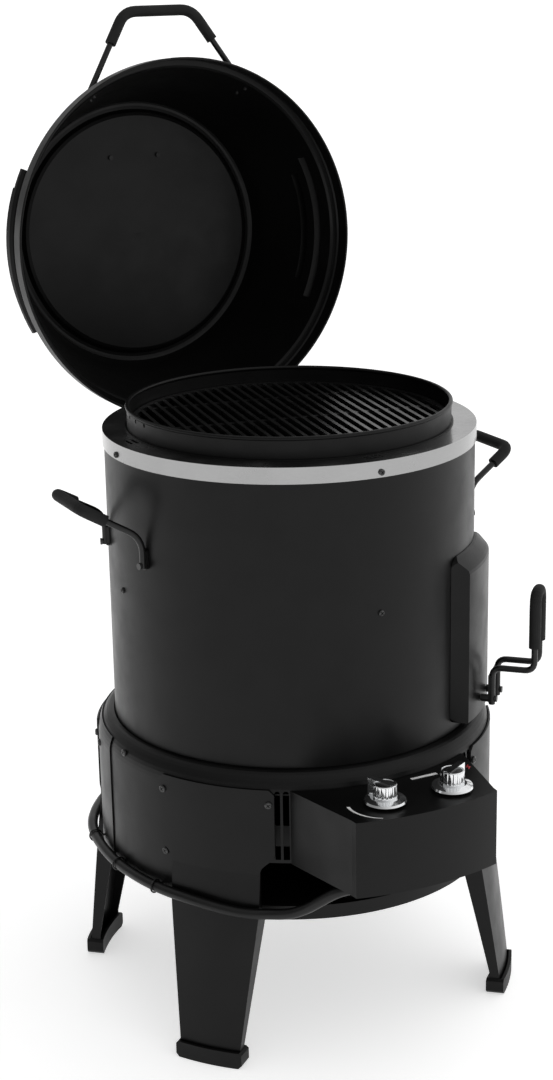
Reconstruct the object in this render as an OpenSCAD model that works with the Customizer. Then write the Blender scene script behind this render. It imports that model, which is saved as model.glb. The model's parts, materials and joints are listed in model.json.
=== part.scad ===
// Double-walled gas drum smoker, roaster and grill on four stamped legs.
// Millimetres, +Z up, front towards -Y, origin on the floor under the drum's axis.
// Angles are seen from above: 0 is the object's left-right axis (+X), -90 is the front.

/* [Drum] */
// Outer radius of the drum
drum_r = 220; // [205:1:235]
// Height of the silver collar's flat top above the floor
collar_z = 710; // [690:1:740]
// Outer radius of the silver collar
collar_r = 221.6; // [221.4:0.1:223]
// Height of the collar's band
collar_band = 19; // [14:1:24]
// Outer radius of the inner chamber
chamber_r = 192; // [180:1:196]
// How far the inner chamber's rim stands above the collar
rim_stand = 27; // [20:1:34]

/* [Base] */
// Outer radius of the base skirt
skirt_r = 240; // [236:1:246]
// Bottom edge of the skirt
skirt_bottom = 192; // [185:1:198]
// Bottom edge of the skirt's lower front lip
lip_bottom = 179; // [172:1:184]
// Height where the skirt's shoulder starts to round inwards
shoulder_low = 331; // [328:1:334]
// Height where the shoulder meets the drum
shoulder_top = 358; // [354:1:362]
// Angle of the front legs from the front, and of the rear legs from the back
leg_angle = 50; // [46:1:54]
// Radius of the circle that the feet stand on
foot_r = 264.5; // [255:0.5:275]

/* [Lid] */
// Outer radius of the lid's lip
lid_r = 228.7; // [227:0.1:232]
// Depth of the lid from the edge of its lip to the corner of its top
lid_depth = 180; // [174:1:190]
// Radius of the lid at the corner of its top
lid_top_r = 176; // [168:1:182]
// Lid opening angle
lid_open = 92.9; // [85:0.1:100]

/* [Controls] */
// Radius of the control box's curved front
box_front_r = 335; // [330:1:338]
// Top of the control box
box_top = 339; // [334:1:341]
// Bottom of the control box
box_bottom = 249; // [246:1:252]
// Place of the gas knob
gas_knob_at = [-36, -291];
// Place of the igniter knob
igniter_knob_at = [49, -294];

/* [Smoker box] */
// Direction that the smoker box faces
smoker_angle = -43.8; // [-48:0.1:-40]
// Outer radius of the smoker box's front
smoker_r = 238; // [234:1:241]

/* [Hose] */
// Outside diameter of the gas hose
hose_d = 12.6; // [10:0.2:13]

/* [Hidden] */
$fn = 96;
sheet = 1.5;
gap = 0.1;
rim_z = collar_z + rim_stand;
lid_z = collar_z - 23.4;
lid_wall_r = 218.5;
lid_step = 25;
hinge_y = 231.9;
hinge_z = 659.5;
rod_r = 3.8;
grip_r = 7;
screw_r = 4.2;
hose_r = hose_d / 2;
hose_z = 199;
panel_r = skirt_r + gap + sheet;
grate_z = 716;
tray_z = 198;
box_side_back = 116;
box_side_front = 91;
front_legs = [-90 - leg_angle, -90 + leg_angle];
rear_legs = [90 + leg_angle, 90 - leg_angle];
charcoal = [0.10, 0.10, 0.11];
black = [0.05, 0.05, 0.05];
silver = [0.78, 0.79, 0.80];
chrome = [0.88, 0.89, 0.90];
grey = [0.30, 0.30, 0.31];
brass = [0.75, 0.62, 0.32];

// ---------- helpers ----------

function unit(v) = v / norm(v);

// Points of a smooth bend at corner c, between the points a and b.
function bend(a, c, b, d, n) =
    let (u = unit(a - c), v = unit(b - c))
    [for (i = [0:n]) let (t = i / n)
        (1 - t) * (1 - t) * (c + d * u) + 2 * t * (1 - t) * c + t * t * (c + d * v)];

// A route through the points p whose inner corners are rounded over the lengths d.
function route(p, d, n = 6) = concat([p[0]],
    [for (i = [1:len(p) - 2]) each bend(p[i - 1], p[i], p[i + 1], d[i - 1], n)],
    [p[len(p) - 1]]);

// The stretch of a symmetric U between its ends: the route and its mirror image.
function mirrored(p) = concat(p, [for (i = [len(p) - 1:-1:0]) [p[i].x, -p[i].y, p[i].z]]);

// A round bar of radius r along a path; ref is never parallel to the path.
module swept(path, r, ref, sides = 14) {
    n = len(path);
    rings = [for (i = [0:n - 1])
        let (t = unit(path[min(i + 1, n - 1)] - path[max(i - 1, 0)]),
             a = unit(cross(t, ref)), b = cross(t, a))
        each [for (k = [0:sides - 1])
            path[i] + r * cos(360 * k / sides) * a + r * sin(360 * k / sides) * b]];
    walls = [for (i = [0:n - 2], k = [0:sides - 1])
        each let (q = (k + 1) % sides, a = i * sides + k, b = i * sides + q)
        [[a, b + sides, b], [a, a + sides, b + sides]]];
    ends = [[for (k = [0:sides - 1]) k],
        [for (k = [sides - 1:-1:0]) (n - 1) * sides + k]];
    polyhedron(points = rings, faces = concat(walls, ends), convexity = 6);
}

// A ring with a rectangular section over part of a turn.
module sector(r_in, r_out, z_low, z_high, from, to)
    rotate([0, 0, from]) rotate_extrude(angle = to - from)
        translate([r_in, z_low]) square([r_out - r_in, z_high - z_low]);

module tube(r_in, r_out, z_low, z_high) difference() {
    translate([0, 0, z_low]) cylinder(r = r_out, h = z_high - z_low);
    translate([0, 0, z_low - 1]) cylinder(r = r_in, h = z_high - z_low + 2);
}

// A prism that runs radially; its outline's x is sideways and its y is up.
module radial_prism(angle, r_from, r_to) rotate([0, 0, angle])
    translate([r_from, 0, 0]) rotate([90, 0, 90]) linear_extrude(r_to - r_from) children();

// A pan-head screw on a surface at radius r, at an angle and a height.
module radial_screw(r, angle, z, head = screw_r, inside = 5) rotate([0, 0, angle])
    translate([r, 0, z]) rotate([0, 90, 0]) {
        translate([0, 0, gap]) cylinder(r = head, h = 1.6);
        translate([0, 0, 1.6 + gap]) cylinder(r1 = head, r2 = head * 0.72, h = 0.9);
        translate([0, 0, -inside]) cylinder(r = head * 0.5, h = inside + gap + 0.5);
    }

// Moves the closed lid's parts to where they stand with the lid open.
module opened() translate([0, hinge_y, hinge_z]) rotate([-lid_open, 0, 0])
    translate([0, -hinge_y, -hinge_z]) children();

// ---------- base ----------

// The skirt's outer line from its foot over the rounded shoulder to the drum.
function shoulder(grow) = [for (t = [0:10:90])
    [drum_r + 1.6 + (skirt_r - drum_r - 1.6) * cos(t) + grow * cos(t),
     shoulder_low + (shoulder_top - shoulder_low) * sin(t) + grow * sin(t)]];

module skirt_profile() polygon(concat(
    [[skirt_r - sheet, lip_bottom], [skirt_r, lip_bottom]], shoulder(0),
    [for (i = [9:-1:0]) shoulder(-sheet)[i]]));

// Directions of the window's ends, left and right of the front.
window_half = 37.6;
// Half of the stretch over the grease tray where the skirt comes down as an apron.
apron_half = 14;
// Directions and widths of the two upright slots beside each front leg.
skirt_slots = [[-121.75, 6.4], [-119.4, 7.2]];
slot_low = 254;
slot_high = 338;

module base_skirt() color(charcoal) difference() {
    union() {
        rotate_extrude() skirt_profile();
        tube(drum_r - 6, skirt_r - sheet / 2, shoulder_low - 1, shoulder_low + 0.5);
    }
    // The lower lip is only at the front.
    sector(skirt_r - 20, skirt_r + 5, lip_bottom - 5, skirt_bottom, -54, 234);
    // Window that the hose and the tray show in, lower where the apron is.
    difference() {
        sector(skirt_r - 20, skirt_r + 5, skirt_bottom + 4, box_bottom + 1, -90 - window_half,
            -90 + window_half);
        sector(skirt_r - 25, skirt_r + 10, tray_z + 24, box_top, -90 - apron_half, -90 + apron_half);
    }
    // Opening behind the control box.
    sector(skirt_r - 20, skirt_r + 5, box_bottom + 7, box_top - 12, -106, -74);
    // Upright slots with round tops.
    for (p = skirt_slots, a = [p[0], -180 - p[0]]) radial_prism(a, skirt_r - 8, skirt_r + 5) polygon(concat(
        [[-p[1] / 2, slot_low], [p[1] / 2, slot_low]], [for (t = [0:20:180])
            [p[1] / 2 * cos(t), slot_high + p[1] / 2 * (sin(t) - 1)]]));
}

module rear_panel() color(charcoal) difference() {
    rotate([0, 0, 3]) rotate_extrude(angle = 174) polygon(concat(
        [[skirt_r + gap, skirt_bottom], [panel_r, skirt_bottom]],
        [for (i = [0:4]) shoulder(gap + sheet)[i]],
        [for (i = [4:-1:0]) shoulder(gap)[i]]));
    // Slots that let air in behind the burner.
    for (a = [78:6:102], z = [250, 290])
        radial_prism(a, skirt_r - 5, skirt_r + 8) translate([-2.5, z]) square([5, 24]);
}

// The leg's outline: a wide head that narrows in a soft step and tapers to the foot.
leg_head = 72.5;
leg_neck = 55.5;
leg_toe = 37;
leg_top = 340;
boot_high = 20;
function leg_edge(inset) = concat([[leg_toe - inset, 6 - inset], [leg_neck - inset, skirt_bottom - 6]],
    [for (t = [0:0.2:1]) [leg_neck + (leg_head - leg_neck) * (1 - cos(180 * t)) / 2 - inset,
        238 + 22 * t]],
    [[leg_head - inset, leg_top - 6 - inset], [leg_head - 6 - inset, leg_top - inset]]);
module leg_outline(inset = 0) polygon(concat(leg_edge(inset),
    [for (i = [len(leg_edge(0)) - 1:-1:0]) [-leg_edge(inset)[i].x, leg_edge(inset)[i].y]]));

// A stamped channel leg at an angle, whose head lies on a surface of radius r.
module leg(angle, r) color(charcoal) difference() {
    intersection() {
        rotate_extrude() polygon([[r, leg_top], [r + 2, leg_top], [r + 2, 235],
            [foot_r + 4.8, 6], [foot_r - 8.5, 6], [foot_r - 8.5, boot_high + 4],
            [r - 16, skirt_bottom - 4], [r, skirt_bottom - 4]]);
        radial_prism(angle, 190, 300) leg_outline();
    }
    intersection() {
        rotate_extrude() polygon([[r - 5, 276], [foot_r + 2.8, 5], [foot_r - 60, 5], [r - 60, 276]]);
        radial_prism(angle, 180, 300) leg_outline(2);
    }
}

// A moulded boot over the end of a leg; it has a slot that the leg's channel stands in.
module foot(angle) color(black) difference() {
    intersection() {
        tube(foot_r - 12.5, foot_r + 9, 0, boot_high);
        radial_prism(angle, 200, 320) polygon([[-38, 0], [38, 0], [42, 4], [42, 17], [39, boot_high],
            [-39, boot_high], [-42, 17], [-42, 4]]);
    }
    intersection() {
        tube(foot_r - 8.8, foot_r + 5.3, 5.9, 30);
        radial_prism(angle, 200, 320) translate([-38.6, 5.9]) square([77.2, 30]);
    }
}

// Screws through the leg heads, the skirt's shoulder and the rear panel.
head_screw = 15.9;
head_screw_z = 322;
module leg_screws() color(grey) {
    for (a = front_legs) {
        for (d = [-head_screw, head_screw])
            radial_screw(skirt_r + gap + 2, a + d, head_screw_z, inside = 6);
        radial_screw(skirt_r, a + (a < -90 ? -16 : 16), 243);
    }
    for (a = rear_legs) for (d = [-head_screw, head_screw])
        radial_screw(panel_r + gap + 2, a + d, head_screw_z, inside = 7);
    for (a = [-174, -6]) radial_screw(skirt_r - 1.6, a, shoulder_low + 12);
    for (a = [164, 90, 16]) radial_screw(panel_r, a, head_screw_z, inside = 6);
    for (a = [82, 98.2]) radial_screw(panel_r + gap + 2, a, 212, inside = 7, head = 3);
}

// Shallow pan that closes the base; its raised edge lies against the skirt.
module bottom_pan() color(black) difference() {
    translate([0, 0, skirt_bottom + 0.5]) cylinder(r = skirt_r - sheet - gap, h = 9);
    translate([0, 0, skirt_bottom + 2]) cylinder(r = skirt_r - sheet - gap - sheet, h = 9);
    for (a = [30:30:150], x = [70, 150]) rotate([0, 0, a]) translate([x, 0, 180])
        cylinder(r = 7, h = 40);
    // The raised edge is open at the window, where the grease tray comes out.
    sector(skirt_r - 10, skirt_r, skirt_bottom + 2, skirt_bottom + 20,
        -90 - window_half, -90 + window_half);
}

// Pan under the burner that keeps its heat off the controls.
module heat_shield() color(grey) difference() {
    translate([0, 0, 252]) cylinder(r = 200, h = 26);
    translate([0, 0, 253.5]) cylinder(r = 198.5, h = 26);
    translate([gas_knob_at.x, -190, 272]) rotate([90, 0, 0]) cylinder(r = 15, h = 60, center = true);
    for (a = [0:45:315]) rotate([0, 0, a]) translate([150, 0, 250]) cylinder(r = 8, h = 6);
}

// Arms that carry the heat shield from the skirt.
module shield_arms() color(grey) for (a = [60, 180, 300]) rotate([0, 0, a]) {
    translate([196, -12, 249.8]) cube([42, 24, 2.1]);
    translate([236, -12, 249.8]) cube([2, 24, 18]);
}

// Ring burner with flame ports on its crown.
module burner() color(grey) difference() {
    union() {
        translate([0, 0, 300]) rotate_extrude() translate([118, 0]) circle(r = 13, $fn = 32);
        translate([0, 0, 290]) cylinder(r = 26, h = 16);
        for (a = [0:60:300]) rotate([0, 0, a + 30]) translate([24, -6, 294])
            cube([84, 12, 8]);
    }
    for (a = [0:15:345]) rotate([0, 0, a]) translate([118, 0, 305]) cylinder(r = 2.4, h = 20, $fn = 16);
}

module venturi_tube() color(silver) {
    // Mixing tube from the valve to the middle of the burner, turned up at its end.
    difference() {
        translate([gas_knob_at.x, -150, 270]) rotate([90, 0, 0]) cylinder(r = 12, h = 104);
        translate([gas_knob_at.x, -151.5, 270]) rotate([90, 0, 0]) cylinder(r = 10.5, h = 110);
    }
    difference() {
        hull() {
            translate([gas_knob_at.x, -149.8, 270]) rotate([90, 0, 0])
                cylinder(r = 12, h = 0.6, $fn = 28);
            translate([0, 0, 288.6]) cylinder(r = 12, h = 1.2, $fn = 28);
        }
        translate([0, 0, 288.4]) cylinder(r = 9, h = 6, $fn = 28);
    }
}

module burner_bracket() color(grey) {
    for (a = [0, 180]) rotate([0, 0, a]) {
        translate([90, -10, 253.6]) cube([30, 20, 2]);
        translate([116, -10, 253.6]) cube([4, 20, 33.3]);
    }
}

module igniter_electrode() color([0.9, 0.88, 0.84]) {
    translate([40, -137, 301]) cylinder(r = 3.2, h = 20);
    translate([40, -137, 320]) cylinder(r = 0.9, h = 8, $fn = 16);
    translate([34, -143, 300]) cube([12, 11, 2]);
    difference() {
        translate([34, -143, 253.6]) cube([12, 1.5, 47]);
        translate([40.2, -146, 289]) rotate([-90, 0, 0]) cylinder(r = 2.6, h = 8, $fn = 24);
    }
}

module igniter_lead() color(black) swept(route([[47, -274.2, 292], [47, -274.2, 279],
    [44, -240, 276], [42, -190, 289], [40, -137, 289], [40, -137, 299.9]],
    [6, 12, 14, 8]), 1.6, [1, 0.1, 0.05], 10);

// ---------- controls ----------

// Plan of the control box, made smaller by inset and cut to fit the skirt.
module box_body(inset, low, high) difference() {
    intersection() {
        translate([0, 0, low]) cylinder(r = box_front_r - inset, h = high - low);
        translate([0, 0, low]) linear_extrude(high - low) polygon([
            [-box_side_back + inset, -200], [-box_side_front + inset, -314.5],
            [-box_side_front + inset + 2, -345], [box_side_front - inset - 2, -345],
            [box_side_front - inset, -314.5], [box_side_back - inset, -200]]);
    }
    translate([0, 0, low - 1]) cylinder(r = skirt_r + gap, h = high - low + 2);
}

module control_box() color(charcoal) difference() {
    box_body(0, box_bottom, box_top);
    box_body(sheet, box_bottom - 1, box_top - sheet);
    for (p = [gas_knob_at, igniter_knob_at])
        translate([p.x, p.y, box_top - 10]) cylinder(r = 7, h = 20);
}

// A sickle that narrows round the gas knob, a short bar, and a plain spark mark.
sickle_from = 167;
sickle_step = 7;
sickle_in = 41;
module panel_marks() color("white") translate([0, 0, box_top + 0.05]) {
    translate(gas_knob_at) for (i = [0:9]) rotate([0, 0, sickle_from + i * sickle_step])
        linear_extrude(0.35) let (wide = 3.4 - i * 0.28, t = sickle_step + 0.4) polygon([
            [sickle_in, 0], [sickle_in + wide, 0],
            [(sickle_in + wide - 0.28) * cos(t), (sickle_in + wide - 0.28) * sin(t)],
            [sickle_in * cos(t), sickle_in * sin(t)]]);
    translate([97, -251]) linear_extrude(0.35)
        polygon([[-3, -6], [3, 0], [0.4, 0.6], [4, 7], [-3, 1], [-0.2, 0.2]]);
    translate([22, -251]) linear_extrude(0.35) square([34, 4.4]);
}

// Valve body hung under the panel, with its outlet spud towards the burner.
module gas_valve() color(brass) difference() {
    union() {
        translate([gas_knob_at.x - 11, gas_knob_at.y - 11, 258]) cube([22, 30, 50]);
        translate([gas_knob_at.x, gas_knob_at.y, 308]) cylinder(r = 9, h = 14);
        for (s = [-1, 1]) translate([gas_knob_at.x + s * 13 - 3, gas_knob_at.y - 6, 296])
            cube([6, 12, box_top - sheet - gap - 296]);
        translate([gas_knob_at.x, gas_knob_at.y + 19, 270]) rotate([-90, 0, 0])
            cylinder(r = 7, h = 16);
    }
    translate([gas_knob_at.x, gas_knob_at.y, 300]) cylinder(r = 4.05, h = 40);
}

// Sliding collar that the stem turns in; it goes down when the knob is pressed.
module gas_stem_collar() color(silver) difference() {
    translate([gas_knob_at.x, gas_knob_at.y, 325.5]) cylinder(r = 6.4, h = 7);
    translate([gas_knob_at.x, gas_knob_at.y, 320]) cylinder(r = 3.56, h = 20);
}

// A flanged knob with a fluted body under a grip bar, standing on its stem; its flange
// is knob_lift above the panel and its bar points in the direction turned.
knob_flange = 24;
knob_body = 13.6;
knob_bar = 22;
knob_lift = 3.2;
module knob(at, stem_low, turned) translate([at.x, at.y, 0]) {
    translate([0, 0, box_top + knob_lift]) {
        cylinder(r1 = knob_flange, r2 = knob_flange - 1, h = 2.4);
        translate([0, 0, 2.4]) cylinder(r1 = knob_flange - 1, r2 = knob_body + 3, h = 2);
        difference() {
            translate([0, 0, 4.4]) cylinder(r = knob_body, h = 15);
            for (a = [20:20:340]) rotate([0, 0, a]) translate([knob_body + 1.4, 0, 6])
                cylinder(r = 2, h = 20, $fn = 20);
        }
        rotate([0, 0, turned]) translate([-knob_body + 1, -4, 3.6]) cube([knob_body + knob_bar - 1, 8, 18.4]);
    }
    translate([0, 0, stem_low]) cylinder(r = 3.5, h = box_top - stem_low + 4);
}

module gas_knob() color(chrome) knob(gas_knob_at, 312, 110);

module igniter_knob() color(chrome) knob(igniter_knob_at, 329, 30);

module igniter_module() color(black) translate([igniter_knob_at.x, igniter_knob_at.y, 0])
    difference() {
        union() {
            translate([-13, -13, 284]) cube([26, 30, 40]);
            translate([0, 0, 323]) cylinder(r = 10, h = box_top - sheet - gap - 323);
        }
        translate([0, 0, 320]) cylinder(r = 3.56, h = 40);
    }

// ---------- gas supply ----------

// Elbow that turns the valve's inlet towards the left.
inlet_z = 243;
module hose_fitting() color(brass) translate([gas_knob_at.x, gas_knob_at.y, inlet_z]) {
    cylinder(r = 6, h = 14.9);
    sphere(r = 6);
    rotate([0, -90, 0]) cylinder(r = 6, h = 12);
    translate([-11, 0, 0]) rotate([0, -90, 0]) cylinder(r = 8, h = 10.9, $fn = 6);
}

// Hose route: from the elbow out under the control box, then round the left side to the
// back. The second list holds angles, distances from the drum's axis and heights.
hose_front = [[-58, -291, inlet_z], [-66, -290.5, inlet_z], [-76, -287, 242], [-86, -279.5, 238],
    [-95, -269.5, 230], [-104, -258, 219], [-114, -245, 207.5], [-126, -230.5, 198.5]];
hose_round = [[-124, 254.5, 193], [-130, 254.5, 192], [-136, 254.5, 194], [-142, 254.5, 197],
    [-148, 254, hose_z], [-155, 252, hose_z], [-162, 249.8, hose_z], [-169, 248.4, hose_z],
    [-176, 248.2, hose_z], [-183, 248.4, hose_z], [-190, 249.8, hose_z], [-197, 252.2, hose_z],
    [-204, 254.6, hose_z], [-211, 255.6, hose_z], [-218, 256, hose_z], [-225, 256.8, hose_z],
    [-232, 259, hose_z], [-239, 262.5, hose_z], [-246, 266, hose_z], [-253, 269.2, hose_z],
    [-260, 271.4, hose_z]];
function around(p) = [p[1] * cos(p[0]), p[1] * sin(p[0]), p[2]];
hose_path = concat(hose_front, [for (p = hose_round) around(p)]);

module gas_hose() color(black) swept(hose_path, hose_r, [0.08, 0.35, 1], 12);

// Wire rings on short pegs that hold the hose against the base: directions and the
// distances of the hose there.
module hose_rings() color(black) for (p = [[-158, 251.2], [-176, 248.2], [-196, 251.8]])
    rotate([0, 0, p[0]]) {
        wall = p[0] > -177 ? skirt_r : panel_r;
        translate([p[1], 0, hose_z]) rotate([90, 0, 0]) rotate_extrude()
            translate([hose_r + 1.3, 0]) circle(r = 1, $fn = 24);
        translate([wall + gap, 0, hose_z]) rotate([0, 90, 0])
            cylinder(r = 1.6, h = p[1] - hose_r - 1.3 - wall - gap);
    }

// The regulator lies along the back; its local +X goes on from the hose's end.
regulator_turn = 12;
module at_regulator() translate(around(hose_round[20])) rotate([0, 0, regulator_turn]) children();

module regulator() color(grey) at_regulator() {
    translate([0.6, 0, 0]) rotate([0, 90, 0]) cylinder(r = 8, h = 14, $fn = 6);
    translate([14, 0, 0]) rotate([0, 90, 0]) cylinder(r = 7, h = 10);
    translate([46, 0, -14]) cylinder(r = 26, h = 24);
    translate([46, 0, 10]) cylinder(r1 = 26, r2 = 17, h = 8);
    translate([68, 0, 0]) rotate([0, 90, 0]) cylinder(r = 8, h = 14);
    translate([80, 0, 0]) rotate([0, 90, 0]) cylinder(r = 5, h = 30);
}

module coupling_nut() color(black) at_regulator() difference() {
    union() {
        translate([86, 0, 0]) rotate([0, 90, 0]) cylinder(r = 17, h = 20);
        for (a = [0:30:330]) translate([86, 0, 0]) rotate([a, 0, 0]) translate([0, 0, 17])
            rotate([0, 90, 0]) cylinder(r = 2.4, h = 20, $fn = 20);
    }
    translate([80, 0, 0]) rotate([0, 90, 0]) cylinder(r = 5.06, h = 40);
}

// Shelf on the rear panel that the regulator is parked on.
module regulator_hook() color(charcoal) {
    sector(panel_r + gap, panel_r + 2.1, hose_z - 18, hose_z + 18, 80.5, 99.8);
    difference() {
        at_regulator() union() {
            translate([20, -46, -18]) cube([52, 75, 3.9]);
            translate([20, 27, -18]) cube([52, 3, 9]);
        }
        translate([0, 0, 150]) cylinder(r = panel_r + 1, h = 100);
    }
}

// ---------- grease tray ----------

module grease_tray() color(grey) difference() {
    union() {
        translate([-47, -226, tray_z]) cube([94, 196, 20]);
        translate([-30, -234, tray_z + 12]) cube([60, 9, 2.4]);
        translate([-30, -236, tray_z + 4]) cube([60, 2.4, 10.4]);
    }
    translate([-45.5, -224.5, tray_z + sheet]) cube([91, 193, 30]);
}

module tray_rails() color(grey) for (s = [-1, 1]) {
    translate([s > 0 ? 47.5 : -49.5, -220, skirt_bottom + 2.1]) cube([2, 190, 14]);
    translate([s > 0 ? 40 : -48, -220, skirt_bottom + 2.1]) cube([8, 190, tray_z - skirt_bottom - 2.3]);
}

// ---------- drum ----------

module smoker_opening() radial_prism(smoker_angle, drum_r - 16, drum_r + 6)
    translate([-55, 389]) square([110, 162]);

module drum_shell() color(charcoal) difference() {
    tube(drum_r - sheet, drum_r, shoulder_low + 0.6, collar_z - sheet - gap);
    smoker_opening();
}

// Silver collar: a band round the drum's top and the flat ring that closes the gap.
module collar_ring() color(silver) difference() {
    translate([0, 0, collar_z - collar_band]) cylinder(r = collar_r, h = collar_band);
    translate([0, 0, collar_z - collar_band - 1]) cylinder(r = drum_r + gap, h = collar_band + 1 - sheet);
    translate([0, 0, collar_z - 5]) cylinder(r = chamber_r + 0.3, h = 10);
    for (a = [0:90:270]) rotate([0, 0, a]) translate([197, 0, collar_z - 5]) {
        translate([0, -11, 0]) cube([4, 22, 10]);
        translate([8, -11, 0]) cube([3, 22, 10]);
    }
}

module collar_screws() color(grey) for (a = [0:90:270])
    radial_screw(collar_r, a, collar_z - 13, inside = 2.4, head = 3.6);

module drum_screws() color(grey) for (a = [0:90:270])
    radial_screw(drum_r, a, 534, inside = 2.4, head = 3.4);

// Inner cooking chamber: deep pot with a rolled rim, a seating flange and vent holes.
module inner_chamber() color(black) difference() {
    union() {
        rotate_extrude() polygon(concat(
            [[0, 396], [150, 400], [176, 406], [188, 416], [chamber_r - 1, 430],
             [chamber_r, collar_z + gap], [chamber_r + 2.4, collar_z + gap],
             [chamber_r + 2.4, collar_z + 1.4], [chamber_r, collar_z + 1.4],
             [chamber_r, rim_z - 5]],
            [for (t = [-60:30:180]) [chamber_r - 1 + 2.2 * cos(t), rim_z - 2.2 + 2.2 * sin(t)]],
            [[chamber_r - sheet, rim_z - 5], [chamber_r - sheet, 431], [186.6, 417.4],
             [175.4, 407.5], [150, 401.5], [0, 397.5]]));
        // Ledge that the grate lies on.
        tube(chamber_r - 12, chamber_r - sheet / 2, grate_z - 4, grate_z - 2.6);
    }
    for (a = [169.2, 176.5, 183.8]) rotate([0, 0, a])
        translate([chamber_r - 14, 0, rim_z - 7.4]) rotate([0, 90, 0]) cylinder(r = 2.4, h = 30);
}

// Round grate of narrow flat bars on three cross bars, inside a ring.
grate_r = chamber_r - 4;
grate_pitch = 13;
grate_bar = 4.6;
grate_turn = -9;
module cooking_grate() color(grey) {
    rotate([0, 0, grate_turn]) difference() {
        intersection() {
            union() {
                for (x = [-14 * grate_pitch:grate_pitch:14 * grate_pitch])
                    translate([x - grate_bar / 2, -grate_r, grate_z - 3]) cube([grate_bar, 2 * grate_r, 3]);
                for (y = [-110, 0, 110]) translate([-grate_r, y - 4, grate_z - 6.4])
                    cube([2 * grate_r, 8, 3.8]);
            }
            translate([0, 0, grate_z - 10]) cylinder(r = grate_r - 5, h = 20);
        }
        tube(chamber_r - 13, chamber_r, grate_z - 10, grate_z - 2.45);
    }
    tube(grate_r - 6, grate_r, grate_z - 2.4, grate_z + 1.2);
}

// ---------- handles ----------

// A screw foot: the flattened end of a handle's rod.
module rod_foot(x, y, z_low, z_high) translate([x, y, 0]) {
    translate([-1.8, -5.4, z_low]) cube([3.6, 10.8, z_high - z_low]);
    translate([-1.8, 0, z_low]) rotate([0, 90, 0]) cylinder(r = 5.4, h = 3.6);
}

// Side handle in its own frame: +X points out from the drum's wall.
side_foot = 14.5;
side_z = 579;
side_rod = [[217.4, 56.2, side_z - 3], [217.4, 56.2, 612], [283, 42, 650], [283, 0, 650]];
side_path = route(side_rod, [18, 14]);
side_all = mirrored([for (i = [0:len(side_path) - 2]) side_path[i]]);
side_grip_path = mirrored(concat([side_rod[1] + 0.6 * (side_rod[2] - side_rod[1])],
    [for (p = side_path) if (p.x > 262 && p.y > 1) p]));

module side_rod(angle) color(black) rotate([0, 0, angle]) {
    swept(side_all, rod_r, [0.8, 0, -0.6]);
    for (s = [-1, 1]) rotate([0, 0, s * side_foot]) rod_foot(222, 0, side_z, side_z + 18);
}

module side_grip(angle) color(grey) rotate([0, 0, angle]) difference() {
    swept(side_grip_path, grip_r, [0.8, 0, -0.6], 18);
    swept(side_all, rod_r + 0.05, [0.8, 0, -0.6]);
}

module side_bolts(angle) color(grey) rotate([0, 0, angle]) for (s = [-1, 1])
    rotate([0, 0, s * side_foot]) translate([228.4, 0, side_z]) rotate([0, 90, 0]) {
        translate([0, 0, gap]) cylinder(r = 3.9, h = 2.4);
        translate([0, 0, -15]) cylinder(r = 2.4, h = 15.5);
    }

// Handle of the smoker box, in the box's own frame.
smoker_foot = 16;
smoker_rod_r = 251.5;
smoker_rod = [[smoker_rod_r, smoker_foot, 381], [smoker_rod_r, smoker_foot, 427],
    [301.5, smoker_foot, 427], [301.5, smoker_foot, 521], [301.5, 0, 521]];
smoker_path = route(smoker_rod, [12, 12, 13.5]);
smoker_all = mirrored([for (i = [0:len(smoker_path) - 2]) smoker_path[i]]);
smoker_grip_path = mirrored([for (p = concat([[301.5, smoker_foot, 456]], smoker_path))
    if (p.z > 455 && p.y > 1) p]);

module smoker_handle_rod() color(black) rotate([0, 0, smoker_angle]) {
    swept(smoker_all, rod_r, [0.7, 0, -0.7]);
    for (s = [-1, 1]) {
        rod_foot(smoker_rod_r - 2.1, s * smoker_foot, 388, 418);
        // Spacer between the cover and the rod.
        translate([smoker_r + 0.3, s * smoker_foot, 388]) rotate([0, 90, 0])
            cylinder(r = 4.6, h = smoker_rod_r - 3 - smoker_r);
    }
}

module smoker_handle_grip() color(grey) rotate([0, 0, smoker_angle]) difference() {
    swept(smoker_grip_path, grip_r, [0.7, 0, -0.7], 18);
    swept(smoker_all, rod_r + 0.05, [0.7, 0, -0.7]);
}

module smoker_handle_bolts() color(grey) rotate([0, 0, smoker_angle]) for (s = [-1, 1])
    translate([smoker_rod_r + rod_r, s * smoker_foot, 388]) rotate([0, 90, 0]) {
        translate([0, 0, gap]) cylinder(r = 3.9, h = 2.4);
        translate([0, 0, -24]) cylinder(r = 2.4, h = 24.5);
    }

// ---------- smoker box ----------

cover_low = 368;
cover_high = 573;

// The cover's plan: its sides lean in towards the front.
module cover_plan(inset) linear_extrude(700) polygon([
    [190, inset - 71.9], [190, 71.9 - inset], [250, 47.8 - inset], [250, inset - 47.8]]);

// Rounded outline of the cover, seen from the front.
function corner(x, z, r, from) = [for (t = [0:15:90])
    [x + r * cos(from + t), z + r * sin(from + t)]];
module cover_face(inset) radial_prism(0, 190, 260) polygon(concat(
    corner(49 - inset, cover_high - 15 - inset, 15, 0), corner(inset - 49, cover_high - 15 - inset, 15, 90),
    corner(inset - 52, cover_low + 12 + inset, 12, 180), corner(52 - inset, cover_low + 12 + inset, 12, 270)));

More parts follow.
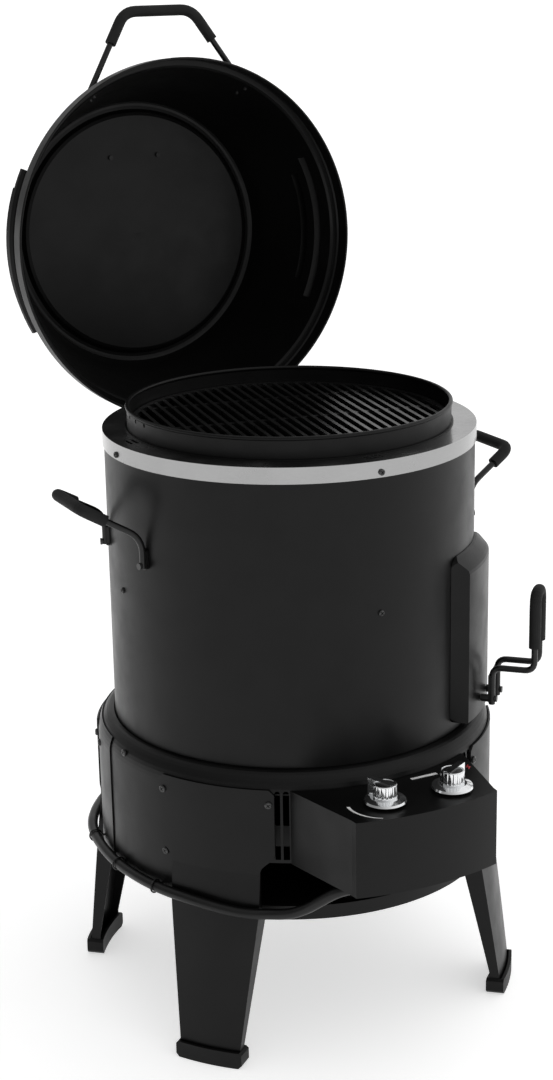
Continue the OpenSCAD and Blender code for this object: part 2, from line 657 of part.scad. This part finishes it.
module smoker_cover() color(charcoal) rotate([0, 0, smoker_angle]) difference() {
    intersection() {
        rotate([0, 0, -25]) rotate_extrude(angle = 50) polygon([[drum_r + 0.4, cover_low],
            [smoker_r - 1.5, cover_low], [smoker_r, cover_low + 1.5], [smoker_r, cover_high - 20],
            [smoker_r - 1, cover_high - 16.5], [smoker_r - 3.2, cover_high - 13.4],
            [drum_r + 3, cover_high - 1.4], [drum_r + 0.4, cover_high]]);
        cover_plan(0);
        cover_face(0);
    }
    intersection() {
        rotate([0, 0, -26]) rotate_extrude(angle = 52) polygon([[drum_r - 8, cover_low + sheet],
            [smoker_r - sheet, cover_low + sheet], [smoker_r - sheet, cover_high - 20.4],
            [smoker_r - 2.4, cover_high - 17.4], [smoker_r - 4.3, cover_high - 14.6],
            [drum_r + 2, cover_high - 2.8], [drum_r - 8, cover_high - 2]]);
        cover_plan(1.6);
        cover_face(1.6);
    }
}

// Open-topped box for the wood chips, carried on the cover's back.
module chip_tray() color(grey) rotate([0, 0, smoker_angle]) difference() {
    union() {
        translate([197, -46, 396]) cube([34, 92, 148]);
        for (s = [-1, 1]) translate([229, s * 16 - 4, 382]) cube([6.6, 8, 30]);
    }
    translate([197 + sheet, -46 + sheet, 396 + sheet]) cube([34 - 2 * sheet, 92 - 2 * sheet, 160]);
    for (z = [420:18:520], y = [-30:15:30]) translate([190, y, z]) rotate([0, 90, 0])
        cylinder(r = 3, h = 12, $fn = 16);
}

// Guide frame in the drum's opening that the chip tray slides in.
module smoker_frame() color(grey) rotate([0, 0, smoker_angle]) difference() {
    translate([197, -54.9, 389.1]) cube([21, 109.8, 161.8]);
    translate([190, -46.6, 395.4]) cube([40, 93.2, 149.4]);
    translate([190, -60, 402]) cube([17, 120, 136]);
}

// ---------- lid (drawn closed, then opened) ----------

// Radius of the lid's wall at the height h over the edge of its lip.
function lid_wall(h) = lid_wall_r - (h - lid_step - 2) * (lid_wall_r - lid_top_r)
    / (lid_depth - lid_step - 8);

// The lid's section: lip, step, sloping wall, rounded corner, band and recessed disc.
module lid_profile() polygon([
    [lid_r - sheet, 0], [lid_r, 0], [lid_r, lid_step - 3], [lid_r - 1, lid_step - 0.8],
    [lid_r - 3, lid_step], [lid_wall_r + 2.4, lid_step + 0.2], [lid_wall_r, lid_step + 2],
    [lid_top_r, lid_depth - 6], [lid_top_r - 1.4, lid_depth - 2.4], [lid_top_r - 4.5, lid_depth - 0.4],
    [lid_top_r - 8, lid_depth], [lid_top_r - 13, lid_depth - 0.6], [lid_top_r - 15.6, lid_depth - 3.4],
    [lid_top_r - 17.6, lid_depth - 6.4], [lid_top_r - 21, lid_depth - 7.6], [60, lid_depth - 7.2],
    [0, lid_depth - 7], [0, lid_depth - 7 - sheet], [60, lid_depth - 7.2 - sheet],
    [lid_top_r - 20.6, lid_depth - 7.6 - sheet], [lid_top_r - 16.5, lid_depth - 7.5],
    [lid_top_r - 14.4, lid_depth - 4.4], [lid_top_r - 12.1, lid_depth - 2],
    [lid_top_r - 8, lid_depth - sheet], [lid_top_r - 4.9, lid_depth - 1.9],
    [lid_top_r - 2.4, lid_depth - 3.5], [lid_top_r - sheet, lid_depth - 6.4],
    [lid_wall_r - sheet, lid_step + 1.6], [lid_wall_r + 1, lid_step - 1.2],
    [lid_r - 3.2, lid_step - sheet], [lid_r - sheet, lid_step - 3.4]]);

// A long curved hood over an air slot in the lid's wall; it is open towards the lip.
module louvre(h, half_angle, side, solid) rotate([0, 0, side - half_angle])
    rotate_extrude(angle = 2 * half_angle) polygon(solid
        ? [[lid_wall(h - 6) - 0.8, h - 6], [lid_wall(h) + 11, h - 8], [lid_wall(h) + 15, h - 5],
           [lid_wall(h) + 16, h], [lid_wall(h) + 13.6, h + 5.4], [lid_wall(h + 13) - 0.8, h + 13]]
        : [[lid_wall(h) - 6, h - 6], [lid_wall(h) + 9.8, h - 10], [lid_wall(h) + 13.8, h - 4],
           [lid_wall(h) + 14.6, h], [lid_wall(h) + 12.3, h + 4.2], [lid_wall(h + 4) - 6, h + 4]]);

// Heights of the two louvres on each side and half of the turn that each covers.
louvres = [[52, 27], [77, 21]];
module lid_shell() color(charcoal) opened() translate([0, 0, lid_z]) difference() {
    union() {
        rotate_extrude() lid_profile();
        for (side = [0, 180], p = louvres) louvre(p[0], p[1], side, true);
    }
    for (side = [0, 180], p = louvres) louvre(p[0], p[1] - 1, side, false);
}

// The lid's handle; its ends stand on plates on the wall of the closed lid.
lid_foot = [107, -190, 733.6];
lid_foot_turn = 29.4;
lid_rod = [lid_foot, [46.5, -287.5, 751], [0, -287.5, 751]];
lid_path = route(lid_rod, [16]);
lid_half = [for (i = [0:len(lid_path) - 2]) lid_path[i]];
function flip(p) = concat(p, [for (i = [len(p) - 1:-1:0]) [-p[i].x, p[i].y, p[i].z]]);
lid_grip_start = lid_foot + (lid_path[1] - lid_foot) * 0.7;
lid_grip_half = concat([lid_grip_start], [for (i = [1:len(lid_path) - 2]) lid_path[i]]);

// Stands children on the lid's wall under the handle's end on the side s.
module at_lid_foot(s) rotate([0, 0, -90 + s * lid_foot_turn])
    translate([lid_wall(lid_foot.z - lid_z) + 0.9, 0, lid_foot.z])
    rotate([0, -atan((lid_wall_r - lid_top_r) / (lid_depth - lid_step - 8)), 0]) children();

module lid_handle_rod() color(black) opened() {
    swept(flip(lid_half), rod_r, [0, 0.1, 1]);
    for (s = [-1, 1]) at_lid_foot(s) {
        translate([-0.2, -7, -14]) cube([3, 14, 28]);
        translate([1, -4, -4]) cube([7, 8, 8]);
    }
}

module lid_handle_grip() color(grey) opened() difference() {
    swept(flip(lid_grip_half), grip_r, [0, 0.1, 1], 18);
    swept(flip(lid_half), rod_r + 0.05, [0, 0.1, 1]);
}

module lid_handle_bolts() color(grey) opened() for (s = [-1, 1], d = [-1, 1])
    at_lid_foot(s) translate([2.9, 0, d * 10]) rotate([0, 90, 0]) {
        cylinder(r = 2.8, h = 1.8);
        translate([0, 0, -8]) cylinder(r = 1.8, h = 8.2);
    }

// Blank plate on the lid's top, held by two studs whose nuts show inside.
module lid_name_plate() color(silver) opened() translate([0, -102, lid_z + lid_depth - 6.9]) {
    linear_extrude(1.6) intersection() {
        square([96, 30], center = true);
        circle(r = 47);
    }
    for (x = [-34, 34]) translate([x, 0, -5.4]) {
        cylinder(r = 1.6, h = 5.8, $fn = 24);
        cylinder(r = 2.8, h = 3, $fn = 24);
    }
}

// ---------- hinge ----------

knuckle_r = 7;
pin_r = 3;

module knuckle(x_from, x_to, bore) translate([x_from, hinge_y, hinge_z]) rotate([0, 90, 0])
    difference() {
        cylinder(r = knuckle_r, h = x_to - x_from);
        translate([0, 0, -1]) cylinder(r = bore, h = x_to - x_from + 2);
    }

module hinge_bracket() color(charcoal) {
    difference() {
        union() {
            sector(drum_r + gap, drum_r + 2.1, hinge_z - 63, hinge_z - 11, 78, 102);
            for (s = [-1, 1]) translate([s * 40 - 4, hinge_y - 17, hinge_z - 35]) cube([8, 17, 30]);
            // Stop that the open lid's leaf leans on.
            translate([-12, hinge_y - 14, hinge_z - 17]) cube([24, 38, 3]);
            translate([-12, hinge_y + 15, hinge_z - 17]) cube([24, 9, 13]);
        }
        translate([0, 0, hinge_z - 75]) cylinder(r = drum_r + gap, h = 90);
        translate([-60, hinge_y, hinge_z]) rotate([0, 90, 0]) cylinder(r = knuckle_r - 0.5, h = 120);
    }
    for (s = [-1, 1]) knuckle(s * 40 - 4, s * 40 + 4, pin_r + 0.03);
}

module hinge_leaf() color(charcoal) opened() {
    for (s = [-1, 1]) knuckle(s * 25 - 9, s * 25 + 9, pin_r + 0.06);
    difference() {
        union() {
            sector(lid_r + gap, lid_r + 2.3, hinge_z + 8, hinge_z + 45, 81.4, 98.6);
            for (s = [-1, 1]) translate([s * 25 - 9, hinge_y - 3.6, hinge_z + 4])
                cube([18, 5.6, 9]);
        }
        translate([-60, hinge_y, hinge_z]) rotate([0, 90, 0]) cylinder(r = knuckle_r - 0.5, h = 120);
    }
}

module hinge_pin() color(silver) translate([-50, hinge_y, hinge_z]) rotate([0, 90, 0]) {
    cylinder(r = pin_r, h = 100);
    translate([0, 0, -2.5]) cylinder(r = 5, h = 2.5);
    translate([0, 0, 100]) cylinder(r = 4.4, h = 2);
}

module hinge_screws() color(grey) {
    for (s = [-1, 1], z = [hinge_z - 50, hinge_z - 25]) radial_screw(drum_r + 2.1, 90 + s * 6, z, inside = 5);
}

// ---------- the assembly ----------

base_skirt();
rear_panel();
leg(front_legs[0], skirt_r + gap);  // leg_front_left
leg(front_legs[1], skirt_r + gap);  // leg_front_right
leg(rear_legs[0], panel_r + gap);  // leg_rear_left
leg(rear_legs[1], panel_r + gap);  // leg_rear_right
foot(front_legs[0]);  // foot_front_left
foot(front_legs[1]);  // foot_front_right
foot(rear_legs[0]);  // foot_rear_left
foot(rear_legs[1]);  // foot_rear_right
leg_screws();
bottom_pan();
heat_shield();
shield_arms();
burner();
venturi_tube();
burner_bracket();
igniter_electrode();
igniter_lead();
control_box();
panel_marks();
gas_valve();
gas_stem_collar();
gas_knob();
igniter_module();
igniter_knob();
hose_fitting();
gas_hose();
hose_rings();
regulator();
regulator_hook();
coupling_nut();
grease_tray();
tray_rails();
drum_shell();
collar_ring();
collar_screws();
drum_screws();
inner_chamber();
cooking_grate();
side_rod(180);  // left_handle_rod
side_grip(180);  // left_handle_grip
side_bolts(180);  // left_handle_bolts
side_rod(0);  // right_handle_rod
side_grip(0);  // right_handle_grip
side_bolts(0);  // right_handle_bolts
smoker_cover();
chip_tray();
smoker_frame();
smoker_handle_rod();
smoker_handle_grip();
smoker_handle_bolts();
lid_shell();
lid_handle_rod();
lid_handle_grip();
lid_handle_bolts();
lid_name_plate();
hinge_bracket();
hinge_leaf();
hinge_pin();
hinge_screws();
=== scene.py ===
"""Looks for the gas drum cooker: camera, light, materials and the finer pieces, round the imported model."""
import json
import math

import bpy
from mathutils import Matrix, Vector

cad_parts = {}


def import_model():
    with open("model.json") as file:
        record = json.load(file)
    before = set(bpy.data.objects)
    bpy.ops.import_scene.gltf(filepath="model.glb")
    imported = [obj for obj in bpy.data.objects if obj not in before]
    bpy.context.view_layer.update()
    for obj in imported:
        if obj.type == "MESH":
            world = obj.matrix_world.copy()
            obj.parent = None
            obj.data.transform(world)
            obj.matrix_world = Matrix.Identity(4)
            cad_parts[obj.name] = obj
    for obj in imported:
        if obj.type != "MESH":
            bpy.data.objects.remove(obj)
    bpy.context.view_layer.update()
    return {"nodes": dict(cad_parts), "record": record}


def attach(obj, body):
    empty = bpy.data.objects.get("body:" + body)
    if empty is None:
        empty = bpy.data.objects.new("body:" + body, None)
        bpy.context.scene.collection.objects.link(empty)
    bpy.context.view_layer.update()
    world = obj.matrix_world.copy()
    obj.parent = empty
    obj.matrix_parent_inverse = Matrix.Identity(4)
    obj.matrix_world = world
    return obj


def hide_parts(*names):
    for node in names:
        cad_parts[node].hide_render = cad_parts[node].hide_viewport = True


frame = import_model()
nodes = frame["nodes"]


# ---------- materials ----------

class Graph:
    """Short ways to add and join the nodes of one material."""

    def __init__(self, name):
        self.material = bpy.data.materials.new(name)
        self.material.use_nodes = True
        self.tree = self.material.node_tree
        self.shader = self.tree.nodes["Principled BSDF"]
        self.place = self.add("ShaderNodeTexCoord").outputs["Object"]

    def add(self, kind, **values):
        node = self.tree.nodes.new(kind)
        for key, value in values.items():
            setattr(node, key, value)
        return node

    def join(self, source, target):
        self.tree.links.new(source, target)

    def noise(self, scale, detail=4.0, roughness=0.55, stretch=(1, 1, 1)):
        mapping = self.add("ShaderNodeMapping")
        mapping.inputs["Scale"].default_value = stretch
        self.join(self.place, mapping.inputs["Vector"])
        node = self.add("ShaderNodeTexNoise")
        node.inputs["Scale"].default_value = scale
        node.inputs["Detail"].default_value = detail
        node.inputs["Roughness"].default_value = roughness
        self.join(mapping.outputs["Vector"], node.inputs["Vector"])
        return node.outputs["Fac"]

    def between(self, fac, low, high, start=0.35, end=0.65):
        """A value that goes from low to high as fac goes from start to end."""
        node = self.add("ShaderNodeMapRange")
        for key, value in (("From Min", start), ("From Max", end), ("To Min", low), ("To Max", high)):
            node.inputs[key].default_value = value
        self.join(fac, node.inputs["Value"])
        return node.outputs["Result"]

    def blend(self, fac, dark, light):
        node = self.add("ShaderNodeMix", data_type="RGBA")
        node.inputs["A"].default_value = (*dark, 1)
        node.inputs["B"].default_value = (*light, 1)
        self.join(fac, node.inputs["Factor"])
        return node.outputs["Result"]

    def bump(self, height, strength, distance):
        node = self.add("ShaderNodeBump")
        node.inputs["Strength"].default_value = strength
        node.inputs["Distance"].default_value = distance
        self.join(height, node.inputs["Height"])
        if self.shader.inputs["Normal"].is_linked:
            self.join(self.shader.inputs["Normal"].links[0].from_socket, node.inputs["Normal"])
        self.join(node.outputs["Normal"], self.shader.inputs["Normal"])

    def set(self, **values):
        for key, value in values.items():
            self.shader.inputs[key.replace("_", " ")].default_value = value


def grey(value, warm=0.0):
    return (value * (1 + warm), value, value * (1 - warm))


def coated(name, value, rough, grain=900.0, bump=0.12, level=0.5):
    """Sprayed coat on sheet metal: fine orange peel, and patches that are a little duller."""
    g = Graph(name)
    patches = g.noise(9.0, 5.0)
    g.join(g.blend(g.between(patches, 0, 1), grey(value * 0.86), grey(value * 1.14)),
           g.shader.inputs["Base Color"])
    g.join(g.between(g.noise(26.0, 6.0), rough - 0.04, rough + 0.05), g.shader.inputs["Roughness"])
    g.bump(g.noise(grain, 2.0), bump, 0.0003)
    g.bump(g.noise(38.0, 2.0), 0.05, 0.0012)
    g.set(Specular_IOR_Level=level)
    return g.material


def brushed(name, value, rough, stretch=(1, 1, 60), bump=0.08):
    """Rolled sheet with fine lines along one direction and faint cloudy patches."""
    g = Graph(name)
    lines = g.noise(140.0, 3.0, 0.6, stretch)
    clouds = g.noise(14.0, 5.0)
    g.join(g.blend(g.between(lines, 0, 1, 0.3, 0.7), grey(value * 0.9), grey(value * 1.06)),
           g.shader.inputs["Base Color"])
    g.join(g.between(clouds, rough - 0.06, rough + 0.08), g.shader.inputs["Roughness"])
    g.bump(lines, bump, 0.0002)
    g.set(Metallic=1.0)
    return g.material


def moulded(name, value, rough, grain=1600.0, bump=0.2, level=0.5):
    """Plastic or rubber from a lightly textured mould."""
    g = Graph(name)
    g.join(g.blend(g.between(g.noise(60.0, 4.0), 0, 1), grey(value * 0.85), grey(value * 1.15)),
           g.shader.inputs["Base Color"])
    g.join(g.between(g.noise(24.0, 3.0), rough - 0.05, rough + 0.06), g.shader.inputs["Roughness"])
    g.bump(g.noise(grain, 2.0), bump, 0.0002)
    g.set(Specular_IOR_Level=level)
    return g.material


def plated(name, colour, rough):
    g = Graph(name)
    g.join(g.blend(g.between(g.noise(30.0, 4.0), 0, 1), tuple(c * 0.94 for c in colour), colour),
           g.shader.inputs["Base Color"])
    g.join(g.between(g.noise(70.0, 5.0), rough * 0.8, rough * 1.4), g.shader.inputs["Roughness"])
    g.bump(g.noise(300.0, 2.0), 0.03, 0.0002)
    g.set(Metallic=1.0)
    return g.material


finish_of = {
    "charcoal_paint": coated("charcoal_paint", 0.0022, 0.36, level=0.2),
    "chamber_enamel": coated("chamber_enamel", 0.002, 0.4, level=0.2),
    "boot_plastic": moulded("boot_plastic", 0.003, 0.5, level=0.2),
    "screw_steel": coated("screw_steel", 0.02, 0.3, bump=0.03, level=0.6),
    # galvanised_steel is painted shade: its colour is darkened to near black so the inner parts seen through
    # the slots read as shadowed. The studs on the lid's name plate share this darkened finish.
    "galvanised_steel": brushed("galvanised_steel", 0.03, 0.5, (1, 1, 1)),
    "collar_steel": brushed("collar_steel", 0.36, 0.22, bump=0.03),
    "grate_enamel": coated("grate_enamel", 0.006, 0.3, level=0.4),
    "rod_enamel": coated("rod_enamel", 0.003, 0.3, bump=0.05, level=0.35),
    "grip_foam": moulded("grip_foam", 0.012, 0.72, 700.0, 0.5, level=0.2),
    "knob_chrome": plated("knob_chrome", (0.84, 0.85, 0.86), 0.1),
    "white_print": moulded("white_print", 0.85, 0.5),
    "brass_fitting": plated("brass_fitting", (0.72, 0.54, 0.26), 0.28),
    "hose_rubber": moulded("hose_rubber", 0.003, 0.38, 500.0, 0.1, level=0.3),
    "black_plastic": moulded("black_plastic", 0.008, 0.35, level=0.4),
    "regulator_zinc": brushed("regulator_zinc", 0.34, 0.48, (1, 1, 1)),
    "electrode_ceramic": moulded("electrode_ceramic", 0.7, 0.3, 300.0, 0.05),
}
slot_of = {row["node"]: row["material_slot"] for row in frame["record"]["subparts"]}


def finish_node(name, width):
    """Material, edges rounded over a width and smooth shading on a CAD node."""
    obj = nodes[name]
    obj.data.materials.clear()
    obj.data.materials.append(finish_of[slot_of[name]])
    if width:
        bevel = obj.modifiers.new("edge", "BEVEL")
        bevel.width = width
        bevel.segments = 2
        bevel.limit_method = "ANGLE"
        bevel.angle_limit = math.radians(50)
        bevel.harden_normals = False
    for polygon in obj.data.polygons:
        polygon.use_smooth = True
    obj.data.set_sharp_from_angle(angle=math.radians(32))


EDGES = {"leg_": 0.0007, "foot_": 0.0009, "control_box": 0.0007, "smoker_cover": 0.0007}
for node_name in nodes:
    finish_node(node_name, max((width for start, width in EDGES.items() if node_name.startswith(start)),
                               default=0.0))


# ---------- the hose ----------

HOSE_FRONT = [(-58, -291, 243), (-66, -290.5, 243), (-76, -287, 242), (-86, -279.5, 238),
              (-95, -269.5, 230), (-104, -258, 219), (-114, -245, 207.5), (-126, -230.5, 198.5)]
HOSE_ROUND = [(-124, 254.5, 193), (-130, 254.5, 192), (-136, 254.5, 194), (-142, 254.5, 197),
              (-148, 254, 199), (-155, 252, 199), (-162, 249.8, 199), (-169, 248.4, 199),
              (-176, 248.2, 199), (-183, 248.4, 199), (-190, 249.8, 199), (-197, 252.2, 199),
              (-204, 254.6, 199), (-211, 255.6, 199), (-218, 256, 199), (-225, 256.8, 199),
              (-232, 259, 199), (-239, 262.5, 199), (-246, 266, 199), (-253, 269.2, 199),
              (-260, 271.4, 199)]
HOSE_D = 0.0126
MM = 0.001


def around(angle, radius, height):
    turn = math.radians(angle)
    return Vector((radius * math.cos(turn), radius * math.sin(turn), height)) * MM


def curve_through(name, points, radius):
    """A round bar whose centre-line is a smooth curve through the points."""
    data = bpy.data.curves.new(name, "CURVE")
    data.dimensions = "3D"
    data.bevel_depth = radius
    data.bevel_resolution = 8
    data.resolution_u = 6
    data.use_fill_caps = True
    spline = data.splines.new("BEZIER")
    spline.bezier_points.add(len(points) - 1)
    for point, place in zip(spline.bezier_points, points):
        point.co = place
        point.handle_left_type = "AUTO"
        point.handle_right_type = "AUTO"
    obj = bpy.data.objects.new(name, data)
    bpy.context.scene.collection.objects.link(obj)
    return obj


def hose():
    points = [Vector(p) * MM for p in HOSE_FRONT] + [around(*p) for p in HOSE_ROUND]
    obj = curve_through("hose", points, HOSE_D / 2)
    obj.data.materials.append(finish_of["hose_rubber"])
    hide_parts("gas_hose")
    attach(obj, "base")


hose()


# ---------- finer pieces ----------

HINGE = Vector((0, 231.9, 659.5)) * MM
LID_Z = 686.6
BOX_TOP = 339
KNOB_TOP = BOX_TOP + 22.6
SPARK_AT = (97, -251)
LID_OPEN = math.radians(-92.9)
GAS_KNOB = (-36, -291)
IGNITER_KNOB = (49, -294)
OPEN = (Matrix.Translation(HINGE) @ Matrix.Rotation(LID_OPEN, 4, "X")
        @ Matrix.Translation(-HINGE))


def belongs(obj, name, body, slot, place=None):
    """Gives a new piece its name, its body and the material of its slot."""
    obj.name = name
    if place is not None:
        obj.matrix_world = place @ obj.matrix_world
    obj.data.materials.clear()
    obj.data.materials.append(finish_of[slot])
    for polygon in obj.data.polygons:
        polygon.use_smooth = True
    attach(obj, body)


def bead(name, radius, tube, centre, body, slot, place=None):
    """A rolled edge: a ring of round wire."""
    bpy.ops.mesh.primitive_torus_add(major_radius=radius * MM, minor_radius=tube * MM,
                                     major_segments=144, minor_segments=16,
                                     location=Vector(centre) * MM)
    bpy.context.view_layer.update()
    belongs(bpy.context.object, name, body, slot, place)


def knob_top(name, at, body):
    """The dark domed cap in a knob's end, inside a bright bezel."""
    bpy.ops.mesh.primitive_uv_sphere_add(radius=11.6 * MM, segments=48, ring_count=24,
                                         location=Vector((*at, KNOB_TOP - 0.4)) * MM)
    cap = bpy.context.object
    cap.scale = (1, 1, 0.16)
    bpy.context.view_layer.update()
    belongs(cap, name + "_cap", body, "black_plastic")
    bead(name + "_bezel", 12.4, 0.9, (*at, KNOB_TOP), body, "knob_chrome")


def shade_cross(name, place, radius, body):
    """A black cross of painted shade where a screw head's cross recess is; place's Z points out of the head.
    """
    long, wide, deep = radius * 1.1 * MM, radius * 0.26 * MM, 0.16 * MM
    corners, faces = [], []
    for half_x, half_y in ((long / 2, wide / 2), (wide / 2, long / 2)):
        first = len(corners)
        corners += [(x, y, z) for z in (-deep, deep)
                    for x, y in ((-half_x, -half_y), (half_x, -half_y), (half_x, half_y), (-half_x, half_y))]
        faces += [[first + i for i in face] for face in
                  ((3, 2, 1, 0), (4, 5, 6, 7), (0, 1, 5, 4), (1, 2, 6, 5), (2, 3, 7, 6), (3, 0, 4, 7))]
    data = bpy.data.meshes.new(name)
    data.from_pydata(corners, [], faces)
    obj = bpy.data.objects.new(name, data)
    bpy.context.scene.collection.objects.link(obj)
    obj.matrix_world = place
    # The black boot_plastic finish on the cross is painted shade for the hollow of the recess.
    belongs(obj, name, body, "boot_plastic")


def facing_out(angle, radius, height):
    """Stands on a wall round the drum's axis, with Z pointing away from it."""
    return (Matrix.Translation(around(angle, radius, height))
            @ Matrix.Rotation(math.radians(angle), 4, "Z") @ Matrix.Rotation(math.pi / 2, 4, "Y")
            @ Matrix.Rotation(math.radians(40), 4, "Z"))


def red_spark():
    """The spark mark by the igniter knob, printed in red over the white one."""
    outline = [(-3.4, -6.8), (3.6, 0.1), (0.9, 0.8), (4.6, 7.9), (-3.6, 0.9), (-0.7, 0.1)]
    low, high = BOX_TOP + 0.43, BOX_TOP + 0.5
    count = len(outline)
    data = bpy.data.meshes.new("igniter_spark")
    data.from_pydata([((SPARK_AT[0] + x) * MM, (SPARK_AT[1] + y) * MM, z * MM)
                      for z in (low, high) for x, y in outline], [],
                     [list(range(count))[::-1], list(range(count, 2 * count))]
                     + [[i, (i + 1) % count, count + (i + 1) % count, count + i] for i in range(count)])
    obj = bpy.data.objects.new("igniter_spark", data)
    bpy.context.scene.collection.objects.link(obj)
    belongs(obj, "igniter_spark", "base", "white_print")
    g = Graph("red_print")
    g.join(g.blend(g.noise(60.0), (0.42, 0.012, 0.02), (0.5, 0.02, 0.03)), g.shader.inputs["Base Color"])
    g.set(Roughness=0.45)
    obj.data.materials[0] = g.material


SCREW_HEAD = 2.6
SCREW_SIZE = 4.2
SHEET = 2.1
SKIRT_R = 240
PANEL_R = 241.6
COLLAR_R = 221.6
DRUM_R = 220
FRONT_LEGS = (-140, -40)
REAR_LEGS = (140, 40)
ROUND = (0, 90, 180, 270)
HEAD_Z = 322
LOW_Z = 243
SHOULDER_R = 238.4
SHOULDER_Z = 343
COLLAR_SCREW_Z = 697
DRUM_SCREW_Z = 534


def shade_crosses():
    """A painted-shade cross in each screw head that shows; each screw is a direction, a radius and a height.
    """
    screws = [(a + d, SKIRT_R + SHEET, HEAD_Z) for a in FRONT_LEGS for d in (-15.9, 15.9)]
    screws += [(a + d, PANEL_R + SHEET, HEAD_Z) for a in REAR_LEGS for d in (-15.9, 15.9)]
    screws += [(a, SKIRT_R, LOW_Z) for a in (-156, -24)]
    screws += [(a, SHOULDER_R, SHOULDER_Z) for a in (-174, -6)]
    screws += [(a, PANEL_R, HEAD_Z) for a in (164, 90, 16)]
    screws += [(a, COLLAR_R, COLLAR_SCREW_Z) for a in ROUND]
    screws += [(a, DRUM_R, DRUM_SCREW_Z) for a in ROUND]
    for count, (angle, radius, height) in enumerate(screws):
        shade_cross("cross_%02d" % count, facing_out(angle, radius + SCREW_HEAD, height), SCREW_SIZE,
                     "base")


LID_LIP_R = 228.0
CHAMBER_RIM_R = 191.2
CHAMBER_RIM_Z = 734.6
bead("lid_lip_bead", LID_LIP_R, 1.5, (0, 0, LID_Z + 0.8), "lid", "charcoal_paint", OPEN)
bead("chamber_rim_bead", CHAMBER_RIM_R, 2.5, (0, 0, CHAMBER_RIM_Z), "base", "chamber_enamel")
knob_top("gas_knob", GAS_KNOB, "gas_knob")
knob_top("igniter_knob", IGNITER_KNOB, "igniter_knob")
red_spark()
shade_crosses()


# ---------- floor, light and camera ----------

LIGHT = (0.22, 1.0)
BRIGHT_SIDE = (0.85, -0.1, 0.45)
BACKDROP = 1.2
FLOOR_GLOW = 0.52


def floor():
    bpy.ops.mesh.primitive_plane_add(size=60, location=(0, 0, -0.0005))
    plane = bpy.context.object
    plane.name = "floor"
    g = Graph("floor")
    g.set(Base_Color=(0.9, 0.9, 0.9, 1), Roughness=0.9)
    g.set(Emission_Color=(1, 1, 1, 1), Emission_Strength=FLOOR_GLOW)
    plane.data.materials.append(g.material)


def world():
    data = bpy.data.worlds.new("studio")
    bpy.context.scene.world = data
    data.use_nodes = True
    tree = data.node_tree
    # The studio is brighter on one side, and the backdrop itself is plain white.
    place = tree.nodes.new("ShaderNodeTexCoord")
    side = tree.nodes.new("ShaderNodeVectorMath")
    side.operation = "DOT_PRODUCT"
    side.inputs[1].default_value = Vector(BRIGHT_SIDE).normalized()
    tree.links.new(place.outputs["Generated"], side.inputs[0])
    glow = tree.nodes.new("ShaderNodeMapRange")
    for key, value in (("From Min", -0.8), ("From Max", 0.9), ("To Min", LIGHT[0]), ("To Max", LIGHT[1])):
        glow.inputs[key].default_value = value
    tree.links.new(side.outputs["Value"], glow.inputs["Value"])
    path = tree.nodes.new("ShaderNodeLightPath")
    strength = tree.nodes.new("ShaderNodeMapRange")
    tree.links.new(glow.outputs["Result"], strength.inputs["To Min"])
    strength.inputs["To Max"].default_value = BACKDROP
    tree.links.new(path.outputs["Is Camera Ray"], strength.inputs["Value"])
    background = tree.nodes["Background"]
    background.inputs["Color"].default_value = (1, 1, 1, 1)
    tree.links.new(strength.outputs["Result"], background.inputs["Strength"])


CAMERA_PLACE = (-1.0457, -2.0613, 1.2539)
CAMERA_DOWN = math.radians(16.656)
CAMERA_HEADING = math.radians(-26.465)
CAMERA_ROLL = math.radians(-1.05)
CAMERA_LENS = 66.57


def camera():
    data = bpy.data.cameras.new("camera")
    data.lens = CAMERA_LENS
    data.sensor_width = 36
    obj = bpy.data.objects.new("camera", data)
    turn = (Matrix.Rotation(CAMERA_HEADING, 4, "Z")
            @ Matrix.Rotation(math.pi / 2 - CAMERA_DOWN, 4, "X")
            @ Matrix.Rotation(CAMERA_ROLL, 4, "Z"))
    obj.matrix_world = Matrix.Translation(CAMERA_PLACE) @ turn
    bpy.context.scene.collection.objects.link(obj)
    bpy.context.scene.camera = obj


floor()
world()
camera()
bpy.context.scene.view_settings.view_transform = "Standard"
